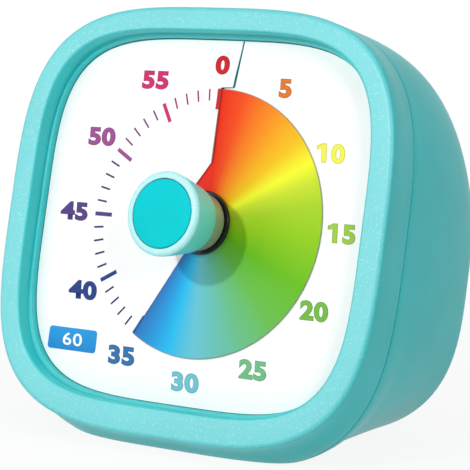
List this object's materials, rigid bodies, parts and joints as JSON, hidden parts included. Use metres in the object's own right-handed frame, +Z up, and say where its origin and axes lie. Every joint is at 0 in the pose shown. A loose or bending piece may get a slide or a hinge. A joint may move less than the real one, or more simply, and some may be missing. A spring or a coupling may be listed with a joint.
{
  "type": "visual timer",
  "caption": "Table timer whose coloured disc passes through a slit in the dial card as a front knob turns, with a clock movement, alarm switches and battery door behind.",
  "frame": {"origin": "centre of the bounding box, on the plane that the timer stands on", "axes": "+Z up; the dial faces -Y and leans back 13 degrees; +X is to the right of the dial as a viewer in front sees it"},
  "size_m": [0.1394, 0.0924, 0.1352],
  "materials": {
    "mint_plastic": "fine-textured mint moulding",
    "cyan_plastic": "smooth satin",
    "white_card": "coated card, printed",
    "printed_film": "film printed with a rainbow sweep",
    "black_plastic": "satin moulding",
    "white_plastic": "satin moulding",
    "steel": "plain turned",
    "brass": "plain turned",
    "copper_wire": "enamelled winding",
    "battery_sleeve": "shrink sleeve",
    "board_green": "solder resist"
  },
  "bodies": {
    "casing": {"front_shell": "mint_plastic", "rear_shell": "mint_plastic", "dial_card": "white_card", "movement_case_front": "black_plastic", "movement_case_rear": "black_plastic", "movement_screw_1": "steel", "movement_screw_2": "steel", "stator": "steel", "coil_bobbin": "white_plastic", "coil_winding": "copper_wire", "contact_leaf": "brass", "shell_screw_1": "steel", "shell_screw_2": "steel", "shell_screw_3": "steel", "shell_screw_4": "steel", "battery": "battery_sleeve", "contact_spring": "steel", "contact_plate_positive": "steel", "contact_plate_negative": "steel", "volume_switch_body": "black_plastic", "duration_switch_body": "black_plastic", "circuit_board": "board_green", "board_screw_1": "steel", "board_screw_2": "steel", "sounder": "black_plastic"},
    "knob": {"knob_body": "mint_plastic", "knob_cap": "cyan_plastic", "knob_stem": "steel", "hub_ring": "black_plastic", "spindle": "brass", "output_wheel": "white_plastic", "alarm_cam": "white_plastic"},
    "disc": {"colour_disc": "printed_film"},
    "third": {"third_wheel": "white_plastic"},
    "second": {"second_wheel": "white_plastic"},
    "motor_rotor": {"rotor": "steel"},
    "door": {"battery_door": "mint_plastic"},
    "volume": {"volume_slider": "white_plastic"},
    "duration": {"duration_slider": "white_plastic"}
  },
  "joints": [
    {"name": "knob_turn", "type": "hinge", "parent": "casing", "child": "knob", "pos_m": [0.0024, -0.0202, 0.06927], "axis": [0, 0.9744, -0.225], "range_deg": [-210, 150]},
    {"name": "disc_rise", "type": "slide", "parent": "knob", "child": "disc", "axis": [0, -0.9744, 0.225], "range_m": [-0.0006, 0.00045]},
    {"name": "third_spin", "type": "hinge", "parent": "casing", "child": "third", "pos_m": [0.01035, -0.02329, 0.05585], "axis": [0, 0.9744, -0.225], "range_deg": [-601, 841]},
    {"name": "second_spin", "type": "hinge", "parent": "casing", "child": "second", "pos_m": [-0.0018, -0.02329, 0.05585], "axis": [0, 0.9744, -0.225], "range_deg": [-2521, 1801]},
    {"name": "rotor_spin", "type": "hinge", "parent": "casing", "child": "motor_rotor", "pos_m": [-0.01155, -0.02329, 0.05585], "axis": [0, 0.9744, -0.225], "range_deg": [-5401, 7561]},
    {"name": "door_pull", "type": "slide", "parent": "casing", "child": "door", "axis": [0, 0.9744, -0.225], "range_m": [0, 0.012]},
    {"name": "volume_slide", "type": "slide", "parent": "casing", "child": "volume", "axis": [1, 0, 0], "range_m": [-0.003, 0.003]},
    {"name": "duration_slide", "type": "slide", "parent": "casing", "child": "duration", "axis": [1, 0, 0], "range_m": [0, 0.003]}
  ],
  "couplings": [
    {"joint": "disc_rise", "follows": "knob_turn", "m_per_rad": 0.00015915},
    {"joint": "third_spin", "follows": "knob_turn", "ratio": -4},
    {"joint": "second_spin", "follows": "knob_turn", "ratio": 12},
    {"joint": "rotor_spin", "follows": "knob_turn", "ratio": -36}
  ]
}
